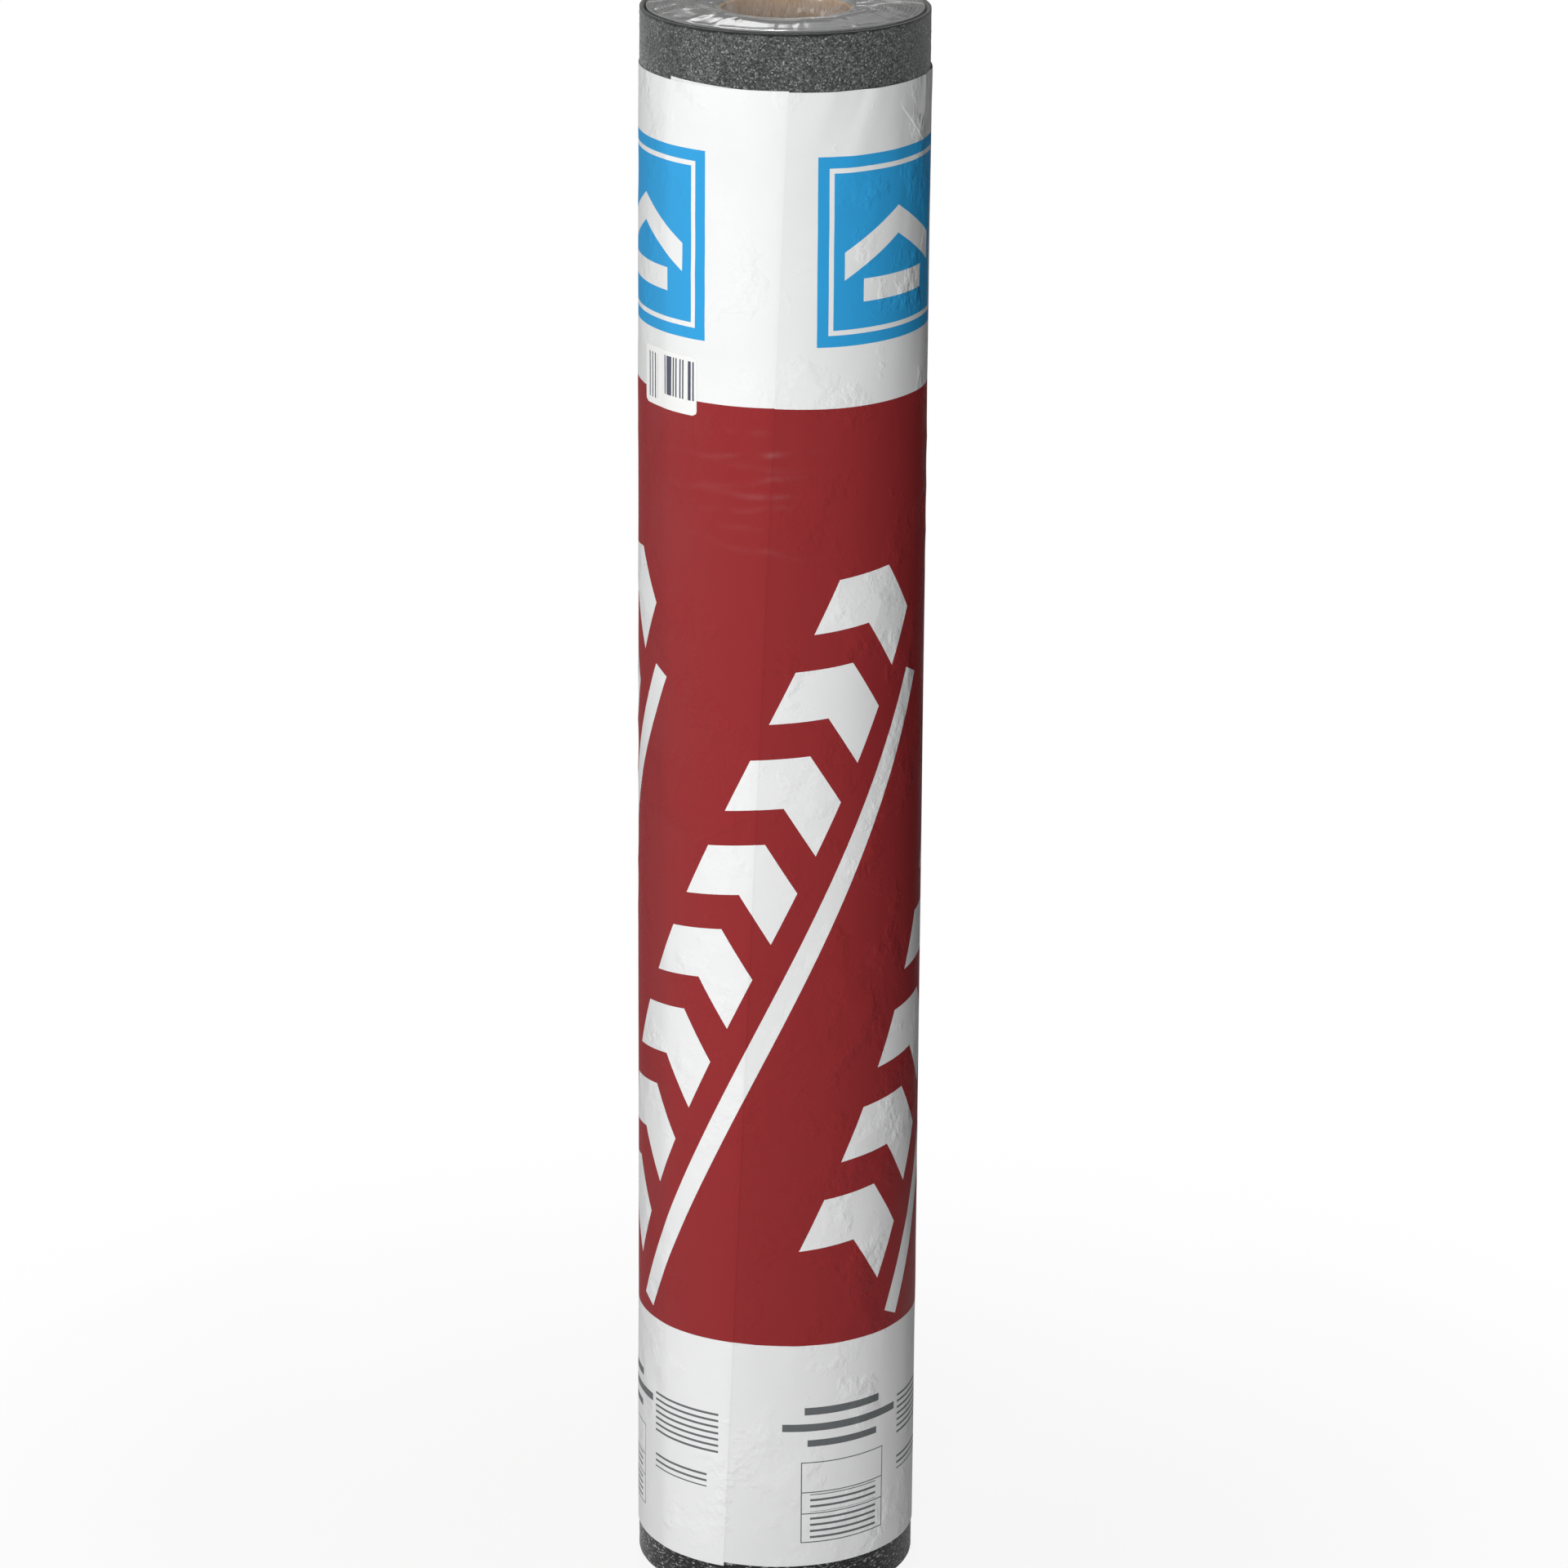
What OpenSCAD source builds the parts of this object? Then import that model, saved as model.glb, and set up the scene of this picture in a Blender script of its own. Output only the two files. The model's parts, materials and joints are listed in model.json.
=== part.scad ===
// Roll of roofing felt standing on its end: felt wound on a cardboard core, with a
// printed paper wrapper lapped once round it, a sticker and a clear film over the top end.
// Angles are degrees round the roll from the front (-Y), and grow towards the right (+X).

/* [Felt] */
// Width of the felt, which is the height of the standing roll
roll_length = 1000; // [300:10:1200]
// Outside diameter of the wound felt
roll_d = 174.5; // [140:0.5:260]
// Thickness of the felt sheet
felt_t = 2.4; // [2:0.1:5]
// Width of the seam that shows between two turns
seam_w = 0.4; // [0.2:0.1:0.8]
// Depth of the seam that shows between two turns
seam_depth = 1.5; // [0.5:0.5:5]
// Width of the open gap inside the loose outermost turn
loose_gap_w = 1.9; // [0.5:0.1:4]
// Depth of the open gap inside the loose outermost turn
loose_gap_depth = 15; // [2:1:40]
// Angle at which the sheet's outer end lies
tail_angle = 163; // [-180:1:180]
// Angle over which each turn climbs onto the one below it
turn_climb = 72; // [30:6:180]

/* [Core] */
// Inside diameter of the cardboard core
core_id = 76; // [50:1:90]
// Wall of the cardboard core
core_wall = 3; // [2:0.5:6]
// How far the core stops short of each end of the felt
core_setback = 2; // [1:0.5:10]

/* [Wrapper] */
// Thickness of the wrapper paper
wrapper_t = 0.25; // [0.1:0.05:0.6]
// Bare felt left below the wrapper
bare_bottom = 20.5; // [5:0.5:80]
// Bare felt left above the wrapper
bare_top = 32; // [5:0.5:80]
// How much lower the wrapper lies after one turn
wrapper_drift = 2.4; // [0:0.1:5]
// Angle of the wrapper's hidden start edge
wrapper_start = -50; // [-180:1:180]
// Length by which the wrapper laps over its start, at its top edge
lap_top = 79; // [20:1:120]
// Length by which the wrapper laps over its start, at its bottom edge
lap_bottom = 43; // [10:1:120]
// Length over which the wrapper climbs onto its own start edge
lap_ramp = 10; // [4:1:30]

/* [Sticker] */
// Width of the sticker, round the roll
label_w = 50; // [20:1:80]
// Height of the sticker
label_h = 36; // [15:1:80]
// Thickness of the sticker
label_t = 0.2; // [0.1:0.05:0.5]
// Corner radius of the sticker
label_corner = 3; // [0.5:0.5:7]
// Drop from the wrapper's top edge to the sticker's top edge
label_drop = 167; // [5:1:180]
// Angle of the sticker's middle
label_angle = -52; // [-180:1:180]

/* [End film] */
// Thickness of the clear film
film_t = 0.15; // [0.05:0.05:0.4]
// Distance from the loose turn's gap to the film's outer edge
film_margin = 0.4; // [0.1:0.1:20]
// Distance from the core's bore to the film's inner edge
film_mouth = 0.6; // [0.2:0.1:1.5]

/* [Fits] */
// Clearance between pieces that lie on each other
lay_gap = 0.05; // [0.02:0.01:0.2]

/* [Hidden] */
$fn = 96;
// Clear length that a cutting solid runs past the faces it cuts
cut_over = 5;

roll_r = roll_d / 2;
core_r = core_id / 2;
felt_bore_r = core_r + core_wall + lay_gap;
// Room for the inner faces of all turns, and the turns that lie in it
wound_room = roll_r - felt_bore_r - felt_t - loose_gap_w;
turns = 1 + max(2, round(wound_room / felt_t));
turn_pitch = wound_room / (turns - 1);
last_turn = 360 * (turns - 1);

wrapper_r = roll_r + lay_gap;
lap_rise = wrapper_t + lay_gap;
wrapper_h = roll_length - bare_bottom - bare_top - wrapper_drift;
// Height of the blunt tip at the top of the slanted end edge
wrapper_tip = 2;
start_top_z = roll_length - bare_top;
deg_per_mm = 180 / (PI * wrapper_r);
end_bottom_a = wrapper_start + 360 + min(lap_bottom, lap_top - 1) * deg_per_mm;
end_top_a = wrapper_start + 360 + lap_top * deg_per_mm;

label_r = wrapper_r + lap_rise + wrapper_t + lay_gap;
label_mid_z = start_top_z - label_drop - label_h / 2;

film_r = roll_r - turn_pitch - loose_gap_w - film_margin;
film_mouth_r = core_r + film_mouth;
film_z = roll_length + lay_gap;
film_lip_z = roll_length - core_setback + lay_gap;

function even_steps(a0, a1, step) =
    let (n = max(1, ceil((a1 - a0) / step)))
    [for (i = [0 : n - 1]) a0 + (a1 - a0) * i / n];
function smooth(x) =
    let (u = min(max(x, 0), 1))
    u * u * (3 - 2 * u);
function reversed(list) = [for (i = [len(list) - 1 : -1 : 0]) list[i]];
function round_roll(r, a, z) = [r * sin(a), -r * cos(a), z];

// How far the felt has climbed onto the turn below it, w degrees along its winding
function climbed(w) = smooth((w - 360 * min(floor(w / 360), turns - 1)) / turn_climb);
// Width of the gap below the felt, and radius of the felt's inner face
function gap_w(w) = w < last_turn ? seam_w : max(seam_w, loose_gap_w * climbed(w));
function felt_r(w) =
    let (turn = min(floor(w / 360), turns - 1))
    felt_bore_r + turn_pitch * max(turn - 1 + climbed(w), 0) + (w < last_turn ? 0 : loose_gap_w * climbed(w));
function on_spiral(r, w) = r * [sin(w + tail_angle), -cos(w + tail_angle)];

// Gap between two turns along a stretch of the winding, cut into both ends
module spiral_gap(from_w, to_w, depth) {
    wind_step = 10;
    stretch = concat(even_steps(from_w, to_w, wind_step), [to_w]);
    outer = [for (w = stretch) on_spiral(felt_r(w), w)];
    inner = [for (w = stretch) on_spiral(felt_r(w) - gap_w(w), w)];
    for (z = [-cut_over, roll_length - depth])
        translate([0, 0, z])
            linear_extrude(height = depth + cut_over)
                polygon(concat(outer, reversed(inner)));
}

// Felt, one sheet wound tight on the core, with its outermost turn loose and its tail
// standing one sheet above the turn below
module felt_roll() {
    face_step = 4;
    tail_clear = 3;
    outside = concat(even_steps(last_turn, last_turn + 360, face_step), [last_turn + 360]);
    color("dimgray")
        difference() {
            linear_extrude(height = roll_length)
                polygon([for (w = outside) on_spiral(felt_r(w) + felt_t, w)]);
            translate([0, 0, -cut_over])
                cylinder(r = felt_bore_r, h = roll_length + 2 * cut_over);
            spiral_gap(360 + turn_climb, last_turn, seam_depth);
            spiral_gap(last_turn, last_turn + 360 + tail_clear, loose_gap_depth);
        }
}

// Cardboard core, open from end to end
module core_tube() {
    core_length = roll_length - 2 * core_setback;
    color("tan")
        translate([0, 0, core_setback])
            difference() {
                cylinder(r = core_r + core_wall, h = core_length);
                translate([0, 0, -cut_over])
                    cylinder(r = core_r, h = core_length + 2 * cut_over);
            }
}

// The wrapper's inner radius, top edge and bottom edge at angle a along its winding
function sheet_r(a) =
    let (ramp = lap_ramp * deg_per_mm)
    wrapper_r + lap_rise * smooth((a - (wrapper_start + 360 - ramp)) / ramp);
function sheet_top(a) = start_top_z - wrapper_drift * (a - wrapper_start) / 360;
function sheet_cut(a) = min(max((a - end_bottom_a) / (end_top_a - end_bottom_a), 0), 1);
function sheet_bottom(a) = sheet_top(a) - wrapper_h + sheet_cut(a) * (wrapper_h - wrapper_tip);

// Wrapper, one sheet wound once round the felt and lapped over its own start,
// with its outer end cut on a slant
module wrapper() {
    column_step = 2;
    columns = concat(
        even_steps(wrapper_start, wrapper_start + 360, column_step),
        even_steps(wrapper_start + 360, end_bottom_a, column_step),
        even_steps(end_bottom_a, end_top_a, column_step),
        [end_top_a]
    );
    points = [for (a = columns) each [
        round_roll(sheet_r(a), a, sheet_bottom(a)),
        round_roll(sheet_r(a) + wrapper_t, a, sheet_bottom(a)),
        round_roll(sheet_r(a) + wrapper_t, a, sheet_top(a)),
        round_roll(sheet_r(a), a, sheet_top(a))
    ]];
    last = 4 * (len(columns) - 1);
    sides = [for (i = [0 : len(columns) - 2], k = [0 : 3])
        let (p = 4 * i + k, q = 4 * i + (k + 1) % 4)
        each [[p, p + 4, q + 4], [p, q + 4, q]]];
    ends = [[0, 1, 2], [0, 2, 3], [last, last + 2, last + 1], [last, last + 3, last + 2]];
    color("whitesmoke")
        polyhedron(points = points, faces = concat(sides, ends));
}

module rounded_rect(w, h, r) {
    square([w - 2 * r, h], center = true);
    square([w, h - 2 * r], center = true);
    for (x = [-1, 1], y = [-1, 1])
        translate([x * (w / 2 - r), y * (h / 2 - r)])
            circle(r = r);
}

// Sticker, bent round the roll on the wrapper
module label() {
    color("white")
        intersection() {
            translate([0, 0, label_mid_z - label_h])
                difference() {
                    cylinder(r = label_r + label_t, h = 2 * label_h);
                    translate([0, 0, -cut_over])
                        cylinder(r = label_r, h = 2 * label_h + 2 * cut_over);
                }
            rotate([0, 0, label_angle])
                translate([0, 0, label_mid_z])
                    rotate([90, 0, 0])
                        linear_extrude(height = label_r + label_t + cut_over)
                            rounded_rect(label_w, label_h, label_corner);
        }
}

// Clear film over the inner turns, with its inner edge turned down onto the core's end
module end_film() {
    color([0.85, 0.88, 0.9, 0.4])
        rotate_extrude()
            polygon([
                [film_r, film_z],
                [film_r, film_z + film_t],
                [film_mouth_r, film_z + film_t],
                [film_mouth_r, film_lip_z],
                [film_mouth_r + film_t, film_lip_z],
                [film_mouth_r + film_t, film_z]
            ]);
}

felt_roll();
core_tube();
wrapper();
label();
end_film();
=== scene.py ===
import json
import math

import bmesh
import bpy
import numpy as np
from mathutils import Matrix, Vector


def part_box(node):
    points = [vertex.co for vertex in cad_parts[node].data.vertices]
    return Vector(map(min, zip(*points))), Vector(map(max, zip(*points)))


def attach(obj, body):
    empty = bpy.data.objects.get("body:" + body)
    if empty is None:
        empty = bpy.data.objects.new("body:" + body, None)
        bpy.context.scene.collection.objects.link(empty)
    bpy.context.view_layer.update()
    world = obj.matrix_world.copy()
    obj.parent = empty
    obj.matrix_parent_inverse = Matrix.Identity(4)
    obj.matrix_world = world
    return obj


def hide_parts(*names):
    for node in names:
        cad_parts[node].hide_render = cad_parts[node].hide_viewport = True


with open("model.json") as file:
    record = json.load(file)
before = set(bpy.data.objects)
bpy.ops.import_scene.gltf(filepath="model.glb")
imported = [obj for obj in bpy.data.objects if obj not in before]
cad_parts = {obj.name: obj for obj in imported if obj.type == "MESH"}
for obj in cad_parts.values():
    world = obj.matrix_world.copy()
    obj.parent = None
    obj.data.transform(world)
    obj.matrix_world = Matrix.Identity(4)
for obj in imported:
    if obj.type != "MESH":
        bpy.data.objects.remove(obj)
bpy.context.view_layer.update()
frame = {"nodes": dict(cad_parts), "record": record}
mm = 0.001
print("frame loaded:", ", ".join(sorted(frame["nodes"])))

# sizes that every piece takes from the frame, in metres
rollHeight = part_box("felt_roll")[1].z
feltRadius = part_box("felt_roll")[1].x
coreBottom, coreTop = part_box("core_tube")[0].z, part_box("core_tube")[1].z
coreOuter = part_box("core_tube")[1].x
coreInner = frame["record"]["mounts"][0]["dims"]["r_mm"] * mm
paperBottom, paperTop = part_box("wrapper")[0].z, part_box("wrapper")[1].z
labelBottom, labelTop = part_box("label")[0].z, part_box("label")[1].z
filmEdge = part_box("end_film")[1].x


# shared helpers

def toLinear(hexColour):
    channels = [int(hexColour[i:i + 2], 16) / 255 for i in (1, 3, 5)]
    return [c / 12.92 if c <= 0.04045 else ((c + 0.055) / 1.055) ** 2.4 for c in channels] + [1.0]


def addNode(tree, kind, setup=None, values=None, links=None):
    # links come from sockets, or from nodes by their first output
    node = tree.nodes.new("ShaderNode" + kind)
    for name, value in (setup or {}).items():
        setattr(node, name, value)
    for socket, value in (values or {}).items():
        node.inputs[socket].default_value = value
    for socket, source in (links or {}).items():
        if isinstance(source, bpy.types.Node):
            source = source.outputs[0]
        tree.links.new(source, node.inputs[socket])
    return node


def newMaterial(name):
    material = bpy.data.materials.new(name)
    material.use_nodes = True
    tree = material.node_tree
    tree.nodes.clear()
    output = addNode(tree, "OutputMaterial")
    shader = addNode(tree, "BsdfPrincipled")
    tree.links.new(shader.outputs[0], output.inputs["Surface"])
    return material, tree, shader


def setRamp(node, stops):
    ramp = node.color_ramp
    while len(ramp.elements) < len(stops):
        ramp.elements.new(0.5)
    for element, (position, colour) in zip(ramp.elements, stops):
        element.position = position
        element.color = toLinear(colour)


def smoothStep(x):
    x = np.clip(x, 0, 1)
    return x * x * (3 - 2 * x)


def aroundRoll(radius, angle, height):
    # angle in degrees from the front (-Y), growing to the right (+X)
    turn = np.radians(angle)
    radius, turn, height = np.broadcast_arrays(radius, turn, height)
    return np.stack([radius * np.sin(turn), -radius * np.cos(turn), height], -1)


def softNoise(u, v, cellU, cellV, seed, wrapU=None):
    # seeded random lattice, smoothed between its points, from -1 to 1
    table = np.random.default_rng(seed).uniform(-1, 1, (512, 512))
    x, y = np.broadcast_arrays(np.asarray(u) / cellU, np.asarray(v) / cellV)
    columns = int(round(wrapU / cellU)) if wrapU else 512
    xi, yi = np.floor(x).astype(int), np.floor(y).astype(int)
    fx, fy = smoothStep(x - xi), smoothStep(y - yi)
    x0, x1, y0, y1 = xi % columns, (xi + 1) % columns, yi % 512, (yi + 1) % 512
    low = table[x0, y0] * (1 - fx) + table[x1, y0] * fx
    high = table[x0, y1] * (1 - fx) + table[x1, y1] * fx
    return low * (1 - fy) + high * fy


def gridFaces(rows, columns, closeRows=False, closeColumns=False, first=0):
    r, c = np.meshgrid(
        np.arange(rows if closeRows else rows - 1),
        np.arange(columns if closeColumns else columns - 1),
        indexing="ij",
    )
    rNext, cNext = (r + 1) % rows, (c + 1) % columns
    corners = [r * columns + c, r * columns + cNext, rNext * columns + cNext, rNext * columns + c]
    return (np.stack(corners, -1).reshape(-1, 4) + first).tolist()


def makePiece(name, points, faces, material, node):
    mesh = bpy.data.meshes.new(name)
    mesh.from_pydata(np.asarray(points).reshape(-1, 3).tolist(), [], faces)
    mesh.materials.append(material)
    shell = bmesh.new()
    shell.from_mesh(mesh)
    bmesh.ops.recalc_face_normals(shell, faces=shell.faces)    # all faces look outwards
    shell.to_mesh(mesh)
    shell.free()
    mesh.shade_smooth()
    mesh.set_sharp_from_angle(angle=math.radians(60))    # cut edges stay crisp
    piece = bpy.data.objects.new(name, mesh)
    bpy.context.scene.collection.objects.link(piece)
    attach(piece, "root")
    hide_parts(node)
    print(name, len(mesh.polygons), "faces")
    return piece


def storePerPoint(piece, name, kind, values):
    # a value for each point that the material reads by its name
    attribute = piece.data.attributes.new(name, kind, "POINT")
    key = "vector" if kind == "FLOAT_VECTOR" else "value"
    attribute.data.foreach_set(key, np.asarray(values, np.float32).ravel())


def thinSheet(outside, inside, closeColumns=False):
    # points and faces of a closed thin sheet between two grids of the same size
    rows, columns = outside.shape[:2]
    count = rows * columns
    points = np.concatenate([outside.reshape(-1, 3), inside.reshape(-1, 3)])
    faces = gridFaces(rows, columns, closeColumns=closeColumns)
    faces += gridFaces(rows, columns, closeColumns=closeColumns, first=count)
    index = np.arange(count).reshape(rows, columns)
    edges = [index[0], index[-1]]
    if closeColumns:
        edges = [np.append(edge, edge[0]) for edge in edges]
    else:
        edges += [index[:, 0], index[:, -1]]
    for edge in edges:
        pairs = zip(edge[:-1].tolist(), edge[1:].tolist())
        faces += [[a, a + count, b + count, b] for a, b in pairs]
    return points, faces


# camera, placed as the photograph was taken

view = {
    "distance": 3.794,   # level distance from the roll's axis
    "height": 1.731,
    "pitch": 17.813,     # degrees down
    "yaw": 0.036,
    "tilt": 0.402,       # degrees about the line of sight
    "lens": 147.7,       # mm on a 36 mm wide sensor
    "sensor": 36.0,
}


def makeCamera():
    yaw, pitch, tilt = (math.radians(view[k]) for k in ("yaw", "pitch", "tilt"))
    ahead = np.array([math.sin(yaw) * math.cos(pitch), math.cos(yaw) * math.cos(pitch),
                      -math.sin(pitch)])
    level = np.array([math.cos(yaw), -math.sin(yaw), 0])
    upright = np.cross(level, ahead)
    right = math.cos(tilt) * level + math.sin(tilt) * upright
    up = -math.sin(tilt) * level + math.cos(tilt) * upright
    data = bpy.data.cameras.new("photoCamera")
    data.lens, data.sensor_width = view["lens"], view["sensor"]
    camera = bpy.data.objects.new("photoCamera", data)
    axes = np.column_stack([right, up, -ahead, [0, -view["distance"], view["height"]]])
    camera.matrix_world = Matrix(np.vstack([axes, [0, 0, 0, 1]]).tolist())
    bpy.context.scene.collection.objects.link(camera)
    bpy.context.scene.camera = camera


makeCamera()
print("camera set")


# studio: soft boxes round the roll, dark screens at its edges, a pale floor and a pale surround

studio = {
    # angle round the roll, distance, height, width, tall, watts
    "boxes": {
        "frontBox": (-6.5, 2.7, 1.38, 1.2, 1.6, 62.8),
        "leftBox": (-88, 2.2, 1.1, 1.0, 1.8, 16.2),
        "topBox": (188, 2.0, 3.2, 0.6, 0.6, 32),
        "rimBox": (183, 2.3, 2.2, 0.27, 0.42, 1.4),
        "rearBox": (172, 2.6, 0.7, 1.6, 1.1, 26),
    },
    "unmirrored": ("frontBox", "rearBox"),    # too large to be mirrored in the film
    # first and last angle, distance, lowest and highest edge, colour
    "blackCloths": [(56, 148, 0.62, 0.0, 1.0, "#161616"),
                    (-148, -122, 0.62, 0.0, 1.0, "#161616")],
    "greyCards": [(156, 204, 1.6, 1.12, 1.66, "#C4C4C2")],
    "screenPosts": 6,
    "surround": 0.055,    # light that comes from all round
    "floorPaint": "#BFBFBD",
    "nearWhite": 0.88,    # how far the floor goes to plain white in the picture, beside the roll
    "nearReach": 0.1,     # radius of that place, and where the floor is plain white
    "farReach": 0.8,
    "floorSize": 16.0,
}


def pictureRays(tree):
    # 1 where the camera sees the surround, straight, through the film or mirrored
    path = addNode(tree, "LightPath")
    seen = addNode(tree, "Math", {"operation": "MAXIMUM"},
                   links={0: path.outputs["Is Camera Ray"], 1: path.outputs["Is Transmission Ray"]})
    return addNode(tree, "Math", {"operation": "MAXIMUM"},
                   links={0: seen, 1: path.outputs["Is Glossy Ray"]})


def makeStudio():
    scene = bpy.context.scene
    scene.view_settings.view_transform = "Standard"
    for name, (angle, distance, height, width, tall, watts) in studio["boxes"].items():
        data = bpy.data.lights.new(name, "AREA")
        data.shape, data.size, data.size_y, data.energy = "RECTANGLE", width, tall, watts
        lamp = bpy.data.objects.new(name, data)
        lamp.location = aroundRoll(distance, angle, height)
        lamp.visible_camera = False
        lamp.visible_glossy = name not in studio["unmirrored"]
        aim = Vector((0, 0, rollHeight / 2)) - lamp.location
        lamp.rotation_euler = aim.to_track_quat("-Z", "Y").to_euler()
        scene.collection.objects.link(lamp)
    world = bpy.data.worlds.new("paleSurround")
    world.use_nodes = True
    tree = world.node_tree
    tree.nodes.clear()
    strength = addNode(tree, "MapRange", values={"To Min": studio["surround"], "To Max": 1.0},
                       links={"Value": pictureRays(tree)})
    sky = addNode(tree, "Background", values={"Color": (1, 1, 1, 1)}, links={"Strength": strength})
    addNode(tree, "OutputWorld", links={"Surface": sky})
    scene.world = world
    makeFloor()
    makeScreens()


def makeScreens():
    # out of the picture: black cloth keeps the white floor out of the roll's shaded edges,
    # and a grey card keeps the white surround out of the film
    for first, last, distance, low, high, colour in studio["blackCloths"] + studio["greyCards"]:
        material, _, shader = newMaterial("screenCloth")    # brushed cotton: no shine at all
        shader.inputs["Base Color"].default_value = toLinear(colour)
        shader.inputs["Roughness"].default_value = 1.0
        foot = aroundRoll(distance, np.linspace(first, last, studio["screenPosts"]), low)
        points = np.stack([foot, foot + [0, 0, high - low]])
        mesh = bpy.data.meshes.new("screen")
        mesh.from_pydata(points.reshape(-1, 3).tolist(), [], gridFaces(2, studio["screenPosts"]))
        mesh.materials.append(material)
        screen = bpy.data.objects.new("screen", mesh)
        screen.visible_camera = False
        bpy.context.scene.collection.objects.link(screen)


def makeFloor():
    # floor in matt emulsion: pale and dull, takes a soft shadow
    material, tree, shader = newMaterial("paintedStudioFloor")
    shader.inputs["Base Color"].default_value = toLinear(studio["floorPaint"])
    shader.inputs["Roughness"].default_value = 0.8
    place = addNode(tree, "TexCoord").outputs["Object"]
    fromRoll = addNode(tree, "VectorMath", {"operation": "LENGTH"}, links={0: place}).outputs["Value"]
    whiteShare = addNode(tree, "MapRange", {"interpolation_type": "SMOOTHSTEP"},
                         {"From Min": studio["nearReach"], "From Max": studio["farReach"],
                          "To Min": studio["nearWhite"], "To Max": 1.0}, {"Value": fromRoll})
    share = addNode(tree, "Math", {"operation": "MULTIPLY"},
                    links={0: whiteShare, 1: pictureRays(tree)})
    white = addNode(tree, "Emission")
    mixed = addNode(tree, "MixShader", links={0: share, 1: shader, 2: white})
    tree.links.new(mixed.outputs[0], tree.nodes["Material Output"].inputs["Surface"])
    half = studio["floorSize"] / 2
    mesh = bpy.data.meshes.new("floor")
    corners = [(-half, -half, 0), (half, -half, 0), (half, half, 0), (-half, half, 0)]
    mesh.from_pydata(corners, [], [(0, 1, 2, 3)])
    mesh.materials.append(material)
    floor = bpy.data.objects.new("floor", mesh)
    bpy.context.scene.collection.objects.link(floor)


makeStudio()
print("studio lit")


# felt: one bitumen sheet wound on the core, its outer turn loose

felt = {
    "turns": 18,
    "sheet": 2.4 * mm,
    "onCore": 0.05 * mm,       # clearance between the core and the first turn
    "looseGap": 1.9 * mm,      # open gap inside the outer turn
    "tailAngle": 163,          # where the sheet's outer end lies, at the back
    "climb": 72,               # degrees in which a turn climbs over the end below it
    "closing": 90,             # degrees before the tail in which the loose turn comes down
    "tailLift": 0.2,           # share of the gap's run left open at the tail
    "edgeRound": 0.45 * mm,
    "edgeWave": 0.35 * mm,     # how unevenly the turns end
    "edgeWaves": (7.0, 0.93),  # waves in a turn, short and long
    "footWave": 0.15 * mm,     # the same at the foot
    "footWaves": 9,
    "outerDrop": 0.15 * mm,    # how far the outer turn lies below the rest
    "outerTip": 0.25 * mm,     # and how far it leans to the front right
    "tipAngle": 20,
    "coarseStep": 3.6,         # degrees between points of the inner turns
    "fineStep": 0.66,          # and of the outer turn
    "plainRows": [0.0, 0.015, 0.5, 0.985, 1.0],
    "middleRows": [0.1, 0.5, 0.9],
    "grainRow": 0.9 * mm,      # height between points on the bare bands
    "grainRelief": 0.2 * mm,
    "grainSink": 0.8,          # how far the relief is set back into the sheet
    "grain": (1.2 * mm, 1.1 * mm),
    "lump": (5 * mm, 4 * mm),  # clumps of grain, and their share of the relief
    "lumpShare": 0.35,
    "bareTop": 44 * mm,        # bands that carry relief, a little past the paper's edges
    "bareBottom": 30 * mm,
    "bareFade": 6 * mm,
    "footRelief": 0.6,         # the foot is rubbed smoother
    "underlap": 12,            # degrees that the outer turn starts below its own tail
}


def feltInside(wound):
    # radius of the sheet's inner face, wound counted in turns from the core
    last = felt["turns"] - 1
    turn = np.minimum(np.floor(wound), last)
    climbed = smoothStep((wound - turn) * 360 / felt["climb"])
    firstTurn = coreOuter + felt["onCore"]
    packed = feltRadius - felt["looseGap"] - 2 * felt["sheet"] - coreOuter
    pitch = packed / (last - 1)
    inside = firstTurn + pitch * np.maximum(turn - 1 + climbed, 0)
    toTail = (turn + 1 - wound) * 360
    opened = climbed * smoothStep(toTail / felt["closing"] + felt["tailLift"])
    slack = feltRadius - felt["sheet"] - firstTurn - pitch * last
    return inside + slack * np.where(turn == last, opened, 0)


def feltTop(wound):
    # each turn ends a little above or below the next one
    angle = felt["tailAngle"] + 360 * wound
    short, long = felt["edgeWaves"]
    wave = softNoise(wound * short, 0, 1, 1, 11) + 0.7 * softNoise(wound * long, 7.5, 1, 1, 12)
    top = rollHeight - felt["edgeWave"] * (0.6 + 0.35 * wave)
    lean = felt["outerDrop"] + felt["outerTip"] * np.cos(np.radians(angle - felt["tipAngle"]))
    outer = smoothStep((wound - (felt["turns"] - 1)) * 360 / felt["climb"])
    return top - lean * outer


def sheetSection(faceHeights):
    # outline of the sheet's section: depth from the outer face, height share, rounding up or down
    rounding = [(0.12, 0.7), (0.30, 1.0), (0.70, 1.0), (0.88, 0.7)]
    section = [(0.0, h, 0.0) for h in faceHeights]
    section += [(d, 1.0, r) for d, r in rounding]
    section += [(1.0, h, 0.0) for h in felt["plainRows"][::-1]]
    section += [(1 - d, 0.0, -r) for d, r in rounding]
    return np.array(section)


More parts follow.
